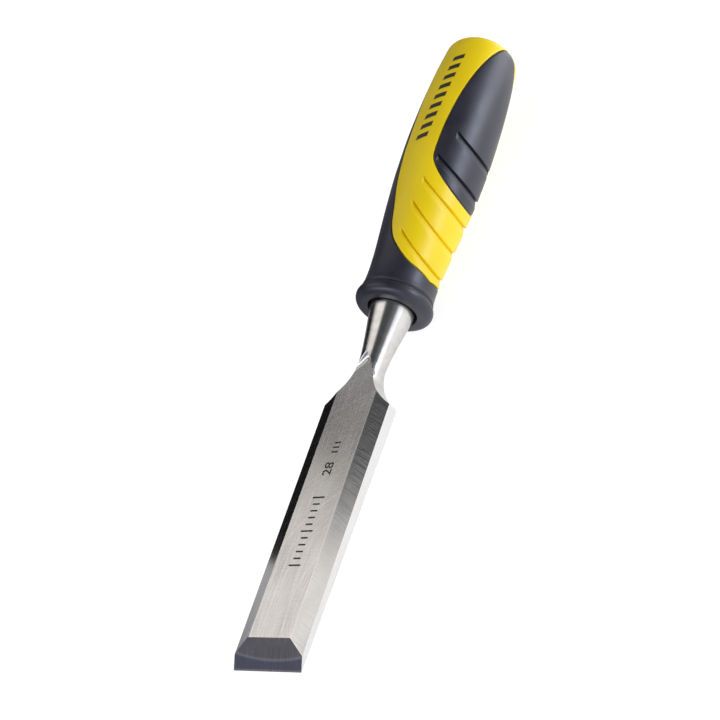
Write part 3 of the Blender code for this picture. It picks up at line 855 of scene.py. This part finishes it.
# %% Steel of the face
def steel_face():
    """Ground face: fine long scratches, faint cross marks and slow patches of tone."""
    n = Nodes(bpy.data.materials.new("steel_face"))
    fine = n.stretched(0.12, 9.0, 3.0, 0.6)
    coarse = n.stretched(0.5, 22.0, 2.0, 0.5, 3.0)
    cross = n.stretched(9.0, 0.35, 3.0, 0.6, 7.0)
    patch = n.stretched(9.0, 16.0, 2.0, 0.5, 11.0)
    tone = n.blend(n.span(patch, 0.3, 0.7), (0.61, 0.59, 0.575), (0.70, 0.68, 0.665))
    tone = n.blend(n.span(fine, 0.35, 0.75, 0.0, 0.35), tone, (0.42, 0.41, 0.40))
    u, s = n.part(0), n.part(1)
    sweep = n.math("SQRT", n.plus(n.math("POWER", n.plus(u, 34.0), 2.0),
                                  n.math("POWER", n.math("SUBTRACT", s, 20.0), 2.0)))
    arcs = n.add("ShaderNodeTexNoise", noise_dimensions="1D")
    arcs.inputs["Scale"].default_value, arcs.inputs["Detail"].default_value = 0.9, 4.0
    n.put(arcs.inputs["W"], sweep)
    tone = n.blend(n.span(arcs.outputs["Fac"], 0.56, 0.70, 0.0, 0.30), tone, (0.86, 0.84, 0.82))
    rough = n.plus(n.span(coarse, 0.3, 0.7, 0.21, 0.27), n.span(cross, 0.4, 0.8, 0.0, 0.04))
    normal = n.bump(fine, 0.010, 0.6)
    normal = n.bump(cross, 0.004, 0.25, normal)
    n.set(color=tone, rough=rough, metal=1.0, normal=normal)
    return n.material


# %% [markdown]
# ## Side bevels
# These were ground across, so their marks run side to side with a slight bow, and they are brighter
# and closer to a mirror than the face.

# %% Steel of the side bevels
def steel_bevel():
    """Side bevels: close cross grinding marks that bow slightly, and darker tone."""
    n = Nodes(bpy.data.materials.new("steel_bevel"))
    x, y = n.part(0), n.part(1)
    bowed = n.plus(y, n.times(n.math("POWER", n.math("ABSOLUTE", x), 2.0), 0.02))
    bend = n.add("ShaderNodeCombineXYZ")
    n.put(bend.inputs[0], n.times(x, 0.12))
    n.put(bend.inputs[1], n.times(bowed, 3.2))
    marks = n.noise(bend.outputs[0], (1.0, 1.0, 1.0), 4.0, 0.6, 0.0)
    patch = n.stretched(5.0, 12.0, 2.0, 0.5, 5.0)
    tone = n.blend(n.span(marks, 0.32, 0.7), (0.60, 0.59, 0.585), (0.80, 0.79, 0.78))
    tone = n.blend(n.span(patch, 0.35, 0.7, 0.0, 0.4), tone, (0.56, 0.55, 0.545))
    n.set(color=tone, rough=n.span(marks, 0.3, 0.7, 0.09, 0.14), metal=1.0,
          normal=n.bump(marks, 0.004, 0.3))
    return n.material


# %% [markdown]
# ## Primary bevel
# Grinding lines run straight up from the edge. The lower part is painted a bluer tone below a bowed
# pale line, which is a painted highlight, and the honed edge is painted as a thin bright highlight.

# %% Steel of the primary bevel
def steel_primary():
    """Primary bevel: fine grinding lines from the edge, and the honed edge as a painted highlight.
    """
    n = Nodes(bpy.data.materials.new("steel_primary"))
    x, y = n.part(0), n.part(1)
    lines = n.stretched(0.16, 7.0, 3.0, 0.6, 2.0)
    patch = n.stretched(6.0, 2.4, 2.0, 0.5, 8.0)
    tone = n.blend(n.span(lines, 0.35, 0.7), (0.20, 0.19, 0.215), (0.36, 0.34, 0.37))
    tone = n.blend(n.span(patch, 0.35, 0.7, 0.0, 0.5), tone, (0.24, 0.23, 0.26))
    off_middle = n.math("POWER", n.plus(x, 2.5), 2.0)
    bowed = n.math("SUBTRACT", y, n.times(off_middle, 0.007))
    lower = n.span(bowed, 3.0, 3.25, 1.0, 0.0)
    tone = n.blend(n.times(lower, 0.75), tone, (0.17, 0.18, 0.26))
    # Painted highlight: a pale bowed line across the lower bevel, drawn in the colour.
    painted_highlight_arc = n.times(n.span(bowed, 2.5, 3.1), n.span(bowed, 3.1, 3.9, 1.0, 0.0))
    tone = n.blend(n.times(painted_highlight_arc, 0.6), tone, (0.46, 0.45, 0.50))
    # Painted highlight: the last 0.6 mm at the edge is painted bright; its lower roughness is the
    # real polish.
    honed_line_and_highlight = n.span(y, 0.45, 0.62, 1.0, 0.0)
    tone = n.blend(honed_line_and_highlight, tone, (0.62, 0.60, 0.60))
    rough = n.plus(n.span(lines, 0.3, 0.7, 0.30, 0.40), n.times(honed_line_and_highlight, -0.1))
    n.set(color=tone, rough=rough, metal=1.0, normal=n.bump(lines, 0.012, 0.6))
    return n.material


# %% [markdown]
# ## Lands
# The narrow square sides were surface ground along the blade and stay bright.

# %% Steel of the lands
def steel_land():
    """Side lands: bright surface grinding along the blade."""
    n = Nodes(bpy.data.materials.new("steel_land"))
    lines = n.stretched(0.15, 14.0, 3.0, 0.6, 4.0)
    tone = n.blend(n.span(lines, 0.3, 0.7), (0.68, 0.67, 0.66), (0.80, 0.79, 0.78))
    n.set(color=tone, rough=n.span(lines, 0.3, 0.7, 0.24, 0.34), metal=1.0,
          normal=n.bump(lines, 0.01, 0.5))
    return n.material


# %% [markdown]
# ## Neck
# The neck was turned and polished: rings too fine to see one by one, over a smooth gloss.

# %% Steel of the neck
def steel_neck():
    """Neck: polished, with faint turned rings."""
    n = Nodes(bpy.data.materials.new("steel_neck"))
    rings = n.stretched(14.0, 0.22, 3.0, 0.6, 6.0)
    patch = n.stretched(4.0, 3.0, 2.0, 0.5, 9.0)
    tone = n.blend(n.span(patch, 0.3, 0.7), (0.60, 0.585, 0.57), (0.68, 0.67, 0.655))
    n.set(color=tone, rough=n.span(rings, 0.3, 0.7, 0.19, 0.25), metal=1.0,
          normal=n.bump(rings, 0.003, 0.35))
    return n.material


# %% [markdown]
# ## Etched mark
# Acid leaves steel dark and matt, with a speckle.

# %% Etched mark
def etched():
    """Etched mark: dark, matt and speckled."""
    n = Nodes(bpy.data.materials.new("etched_mark"))
    speckle = n.grain(0.4, 0.4)
    tone = n.blend(speckle, (0.035, 0.033, 0.032), (0.075, 0.07, 0.068))
    n.set(color=tone, rough=0.6, metal=0.2, normal=n.bump(speckle, 0.01, 0.5))
    return n.material


# %% [markdown]
# ## Hard plastic
# The core's skin has a satin gloss, shallow ripples and pits from the mould, and pale scuffs. Plain
# slanting bars are printed along the face side, where such a handle carries its marking. They are
# a mask in the map, because print has no thickness.

# %% Hard yellow plastic
def hard_yellow():
    """Moulded plastic: satin gloss, a very slight ripple, fine pits and faint scuffs."""
    n = Nodes(bpy.data.materials.new("hard_yellow"))
    pits = n.grain(0.28, 0.28, 3.0, 0.6)
    ripple = n.grain(3.2, 4.5, 1.0, 0.4, 5.0)
    patch = n.grain(14.0, 26.0, 2.0, 0.5, 9.0)
    scuff = n.grain(0.5, 9.0, 4.0, 0.7, 13.0)
    tone = n.blend(n.span(patch, 0.3, 0.7), (0.88, 0.63, 0.003), (0.94, 0.69, 0.004))
    tone = n.blend(n.span(scuff, 0.62, 0.8, 0.0, 0.12), tone, (0.9, 0.74, 0.12))
    u, s = n.part(0), n.part(1)
    middle = n.math("MULTIPLY_ADD", s, -0.066, 36.1)
    aside = n.math("SUBTRACT", u, middle)
    row = n.math("MULTIPLY_ADD", aside, 0.35, s)
    phase = n.math("FRACT", n.times(n.math("SUBTRACT", row, 190.0), 1 / 4.4))
    bars = n.times(n.span(phase, 0.18, 0.21), n.span(phase, 0.66, 0.69, 1.0, 0.0))
    height = n.span(n.math("ABSOLUTE", aside), 2.1, 2.2, 1.0, 0.0)
    length = n.times(n.span(row, 190.0, 190.1), n.span(row, 229.5, 229.6, 1.0, 0.0))
    print_mask = n.times(bars, n.times(height, length))
    print_mask = n.times(print_mask, n.span(pits, 0.2, 0.35, 0.75, 1.0))
    tone = n.blend(print_mask, tone, (0.03, 0.028, 0.02))
    rough = n.plus(n.span(pits, 0.3, 0.7, 0.34, 0.44), n.span(scuff, 0.6, 0.8, 0.0, 0.08))
    normal = n.bump(ripple, 0.05, 0.3)
    normal = n.bump(pits, 0.012, 0.6, normal)
    n.set(color=tone, rough=rough, specular=0.5, normal=normal)
    return n.material


# %% [markdown]
# ## Soft grip
# Nearly black, with a fine pebble and a bluish gloss that changes slowly where hands have been.

# %% Soft black grip
def soft_black():
    """Soft grip: near black with a fine pebble, dusty highs and slow changes of gloss."""
    n = Nodes(bpy.data.materials.new("soft_black"))
    pebble = n.stretched(0.22, 0.22, 2.0, 0.55)
    patch = n.stretched(9.0, 15.0, 3.0, 0.6, 4.0)
    dust = n.stretched(1.2, 1.6, 4.0, 0.7, 17.0)
    tone = n.blend(n.span(patch, 0.3, 0.7), (0.014, 0.0135, 0.021), (0.023, 0.022, 0.033))
    tone = n.blend(n.span(dust, 0.58, 0.8, 0.0, 0.25), tone, (0.06, 0.058, 0.072))
    rough = n.plus(n.span(patch, 0.3, 0.7, 0.36, 0.46), n.span(dust, 0.5, 0.8, 0.0, 0.08))
    n.set(color=tone, rough=rough, specular=0.72, tint=(0.86, 0.88, 1.0),
          normal=n.bump(pebble, 0.02, 0.5))
    return n.material


# %% [markdown]
# ## Giving each piece its finish
# The blade has five steels, by zone. The two soft pieces share one, as they are one moulding shot.

# %% Materials on the pieces
for material in (steel_face(), steel_bevel(), steel_primary(), steel_land(), steel_neck()):
    blade.data.materials.append(material)
soft = soft_black()
panel.data.materials.append(soft)
sleeve.data.materials.append(soft)
core.data.materials.append(hard_yellow())
dark = etched()
marks.data.materials.append(dark)
figures.data.materials.append(dark)
print("blade finishes", [material.name for material in blade.data.materials])

# %% [markdown]
# ## What each piece stands for
# Each new piece replaces one CAD node. The marks ride along with
# the blade and replace nothing.

# %% Ride and replace
for piece, node, slot in ((blade, "blade", "blade_steel"), (core, "handle_core", "handle_plastic"),
                          (sleeve, "grip_sleeve", "soft_grip"), (panel, "grip_panel", "soft_grip")):
    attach(piece, "root")
    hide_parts(node)
for piece in (marks, figures):
    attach(piece, "root")
print("pieces placed on the frame")

# %% [markdown]
# ## Floor
# A pale floor that glows a little, as a lit sweep does. The steel and the rubber mirror it, so the
# glow they see is set apart from the one in view: dim on the left, bright on the right.

# %% Floor
floor_mesh = bpy.data.meshes.new("floor")
floor_mesh.from_pydata([(-6, -6, 0), (6, -6, 0), (6, 6, 0), (-6, 6, 0)], [], [(0, 1, 2, 3)])
floor = new_object("floor", floor_mesh)
floor.location.z = cad_low.z - 0.0001
paper = Nodes(bpy.data.materials.new("paper"))
paper.set(color=paper.blend(paper.grain(25.0, 25.0), (0.31, 0.31, 0.31), (0.33, 0.33, 0.33)),
          rough=0.8, specular=0.0)
paper.shader.inputs["Emission Color"].default_value = (1.0, 1.0, 1.0, 1.0)
seen = paper.add("ShaderNodeLightPath").outputs["Is Camera Ray"]
floor_axes = paper.add("ShaderNodeSeparateXYZ")
paper.put(floor_axes.inputs[0], paper.add("ShaderNodeTexCoord").outputs["Object"])
floor_x, floor_y = floor_axes.outputs[:2]
far_right = paper.times(paper.span(floor_x, -0.02, 0.04),
                        paper.span(floor_y, 0.12, 0.18, 0.0, 2.4))
mirrored = paper.plus(paper.span(floor_x, -0.05, 0.03, 0.06, 1.0), far_right)
glow = paper.plus(paper.times(seen, 0.90),
                  paper.times(paper.math("SUBTRACT", 1.0, seen), mirrored))
paper.put(paper.shader.inputs["Emission Strength"], glow)
floor_mesh.materials.append(paper.material)
print("floor at", floor.location.z)

# %% [markdown]
# ## Key light and card
# One soft key stands on the right. A black card on the left darkens what the left bevel and the
# neck mirror, as in a product studio. It is felt only in reflections, and throws no shadow.

# %% Key light and card
key = bpy.data.lights.new("key_right", "AREA")
key.shape, key.size, key.size_y = "RECTANGLE", 0.5, 0.24
key.energy, key.color = 3.0, (0.84, 0.89, 1.0)
key_light = new_object("key_right", key)
key_light.location = (1.0, 0.62, 0.16)
toward = Vector((0, 0.07, 0.02)) - key_light.location
key_light.rotation_euler = toward.to_track_quat("-Z", "Y").to_euler()

CARD_SIDE = -0.27
card_outline = ((0.012, 0.0), (0.16, 0.0), (0.16, 0.20), (0.11, 0.23), (0.105, 0.37),
                (0.085, 0.37), (0.08, 0.19), (0.012, 0.17))
card_mesh = bpy.data.meshes.new("black_card")
card_mesh.from_pydata(np.insert(card_outline, 0, CARD_SIDE, axis=1), [],
                      [tuple(range(len(card_outline)))])
card = new_object("black_card", card_mesh)
card.visible_camera = card.visible_shadow = card.visible_diffuse = False
felt = Nodes(bpy.data.materials.new("felt"))
felt.set(color=(0.01, 0.01, 0.01), rough=0.9, specular=0.1)
card_mesh.materials.append(felt.material)
print("card", len(card_outline), "corners")

# %% [markdown]
# ## Surround
# Ground steel shows what it mirrors, so the surround is a few soft boxes with dark gaps: one
# overhead to the left that stops towards the back of the bench, a low one on the right, a high one
# in front, and a small one low on the left. Each is a smooth window in the direction looked in.

# %% Surround
world = bpy.data.worlds.new("surround")
sky = Nodes(world, "Background")
sky_axes = sky.add("ShaderNodeSeparateXYZ")
sky.put(sky_axes.inputs[0], sky.add("ShaderNodeTexCoord").outputs["Generated"])
sx, sy, sz = sky_axes.outputs
slant = sky.math("MULTIPLY_ADD", sz, 0.08, 0.205)
cut_off = sky.plus(sky.times(sx, -0.13), slant)
in_front = sky.span(sky.math("SUBTRACT", sy, cut_off), -0.02, 0.02, 1.0, 0.0)
left_box = sky.times(sky.span(sx, -0.80, -0.74), sky.span(sx, -0.02, 0.06, 1.0, 0.0))
left_box = sky.times(left_box, sky.span(sy, -0.24, -0.16))
left_light = sky.times(in_front, sky.times(left_box, 1.15))
right_box = sky.times(sky.span(sx, 0.70, 0.86), sky.span(sz, 0.30, 0.44, 1.0, 0.0))
right_light = sky.times(right_box, sky.span(sy, 0.25, 0.5, 1.25, 3.3))
front_box = sky.times(sky.span(sy, -0.66, -0.52, 1.0, 0.0), sky.span(sz, 0.30, 0.55))
front_light = sky.times(front_box, 3.0)
low_light = sky.times(sky.span(sx, -0.90, -0.86, 0.36, 0.0), sky.span(sy, 0.27, 0.32))
room = sky.plus(low_light, sky.span(sz, 0.60, 0.85, 0.17, 0.08))
strength = sky.plus(sky.plus(left_light, right_light), sky.plus(front_light, room))
warm_share = sky.plus(left_light, low_light)
sky.put(sky.shader.inputs["Color"], sky.blend(warm_share, (0.89, 0.92, 1.0), (1.0, 0.97, 0.93)))
sky.put(sky.shader.inputs["Strength"], strength)
bpy.context.scene.world = world
print("surround", len(world.node_tree.nodes), "nodes")

# %% [markdown]
# ## Camera
# The camera looks down the tool from its right-hand side and in front of the cutting edge, with a
# long lens. Its three axes are unit vectors, so the matrix only turns and moves it.

# %% Camera
lens = bpy.data.cameras.new("camera")
lens.sensor_width, lens.lens = 36.0, 103.355
camera = new_object("camera", lens)
right = Vector((0.75807696, 0.35418853, -0.54760369))
up = Vector((0.07341632, 0.78798553, 0.61130095))
back = Vector((0.64801957, -0.50361621, 0.57135046))
turned_view = Matrix((right, up, back)).transposed().to_4x4()
turned_view.translation = (0.43240269, -0.35013373, 0.39853924)
camera.matrix_world = turned_view
bpy.context.scene.camera = camera
bpy.context.scene.view_settings.view_transform = "Standard"
print("camera", round(turned_view.translation.length, 3), "m from the origin")
